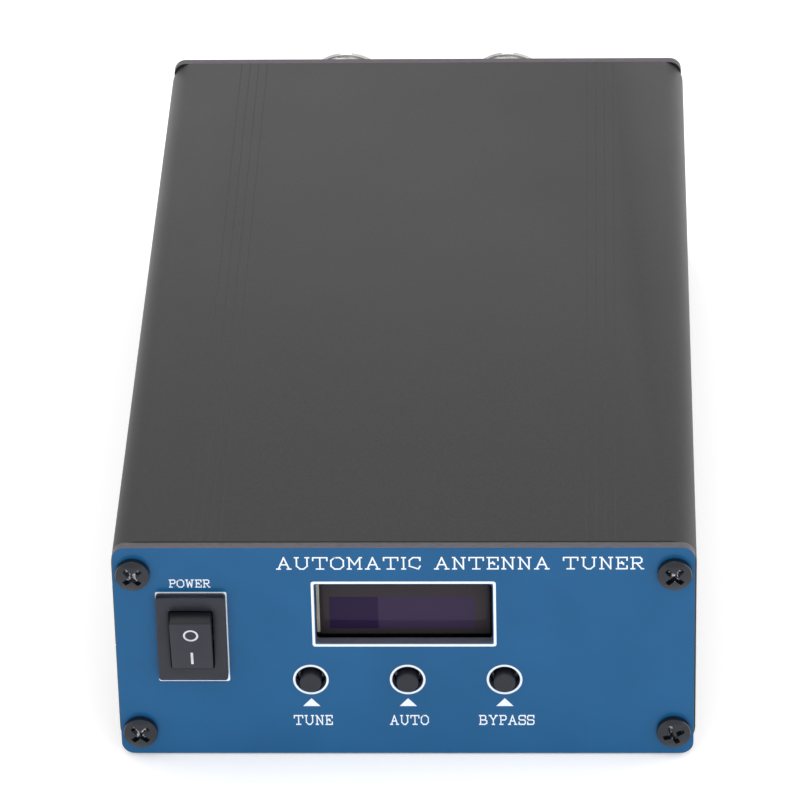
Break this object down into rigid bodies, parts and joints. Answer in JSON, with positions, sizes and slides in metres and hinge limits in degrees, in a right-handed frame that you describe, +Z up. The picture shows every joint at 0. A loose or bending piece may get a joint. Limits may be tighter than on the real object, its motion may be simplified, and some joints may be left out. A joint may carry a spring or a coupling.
{
  "type": "antenna tuner",
  "caption": "Slim desktop automatic antenna tuner in a split extruded case, with a rocker power switch, display window, push buttons and rear screw-on radio sockets.",
  "frame": {"origin": "middle of the underside of the case, on the surface it stands on", "axes": "+X to the right seen from the front, +Y from the front panel to the back, +Z up"},
  "size_m": [0.088, 0.1778, 0.038],
  "materials": {
    "anodised_case": "dark grey sand-blasted anodising",
    "panel_board": "blue solder mask over glass-fibre board, glossy",
    "black_screw": "black oxide steel, satin",
    "bright_steel": "nickel-plated, bright",
    "switch_plastic": "black moulded nylon, satin",
    "button_plastic": "black moulded plastic, satin",
    "spring_steel": "plain spring steel",
    "contact_brass": "plain brass",
    "green_board": "green solder mask over glass-fibre board",
    "black_board": "black solder mask over glass-fibre board",
    "display_glass": "dark violet-black glass panel with a polariser",
    "black_moulding": "black moulded plastic",
    "relay_plastic": "black moulded relay case",
    "capacitor_ceramic": "tan ceramic",
    "ring_ferrite": "red-coated iron powder ring",
    "sense_ferrite": "dark grey ferrite",
    "enamelled_wire": "enamelled copper wire",
    "can_sleeve": "dark sleeved can",
    "white_insulator": "white fluoropolymer insulator",
    "gilt_contact": "gold-plated brass",
    "wire_insulation": "red flexible insulation",
    "white_insulation": "white insulated wire"
  },
  "bodies": {
    "root": {"lower_shell": "anodised_case", "upper_shell": "anodised_case", "front_panel": "panel_board", "rear_panel": "panel_board", "front_screws": "black_screw", "rear_screws": "black_screw", "flange_screws": "bright_steel", "flange_nuts": "bright_steel", "rocker_housing": "switch_plastic", "rocker_terminals": "contact_brass", "control_board": "black_board", "switch_bases": "black_moulding", "switch_covers": "spring_steel", "switch_domes": "spring_steel", "display_glass": "display_glass", "display_carrier": "black_board", "display_header": "black_moulding", "main_board": "green_board", "board_header": "black_moulding", "relays": "relay_plastic", "tuning_capacitors": "capacitor_ceramic", "ring_cores": "ring_ferrite", "ring_windings": "enamelled_wire", "air_coils": "enamelled_wire", "sense_cores": "sense_ferrite", "processor": "black_moulding", "voltage_regulator": "black_moulding", "electrolytics": "can_sleeve", "power_header": "white_insulator", "input_socket": "bright_steel", "input_insulator": "white_insulator", "input_contact": "gilt_contact", "aerial_socket": "bright_steel", "aerial_insulator": "white_insulator", "aerial_contact": "gilt_contact", "inlet_body": "black_moulding", "inlet_pin": "bright_steel", "inlet_tag": "bright_steel", "inlet_nut": "bright_steel", "radio_leads": "white_insulation", "power_leads": "wire_insulation"},
    "rocker": {"rocker_paddle": "switch_plastic", "rocker_spring": "spring_steel", "rocker_plunger": "black_moulding"},
    "contact_lever": {"rocker_contact_lever": "contact_brass"},
    "tune": {"tune_button": "button_plastic"},
    "auto": {"auto_button": "button_plastic"},
    "bypass": {"bypass_button": "button_plastic"}
  },
  "joints": [
    {"name": "rocker_tilt", "type": "hinge", "parent": "root", "child": "rocker", "pos_m": [-0.0321, -0.0773, 0.02225], "axis": [-1, 0, 0], "range_deg": [0, 20]},
    {"name": "contact_lever_tilt", "type": "hinge", "parent": "root", "child": "contact_lever", "pos_m": [-0.0321, -0.0703, 0.02225], "axis": [1, 0, 0], "range_deg": [0, 16]},
    {"name": "tune_press", "type": "slide", "parent": "root", "child": "tune", "axis": [0, 1, 0], "range_m": [0, 0.00025], "stiffness_N_per_m": 400},
    {"name": "auto_press", "type": "slide", "parent": "root", "child": "auto", "axis": [0, 1, 0], "range_m": [0, 0.00025], "stiffness_N_per_m": 400},
    {"name": "bypass_press", "type": "slide", "parent": "root", "child": "bypass", "axis": [0, 1, 0], "range_m": [0, 0.00025], "stiffness_N_per_m": 400}
  ],
  "couplings": [
    {"joint": "contact_lever_tilt", "follows": "rocker_tilt", "ratio": 0.8}
  ]
}
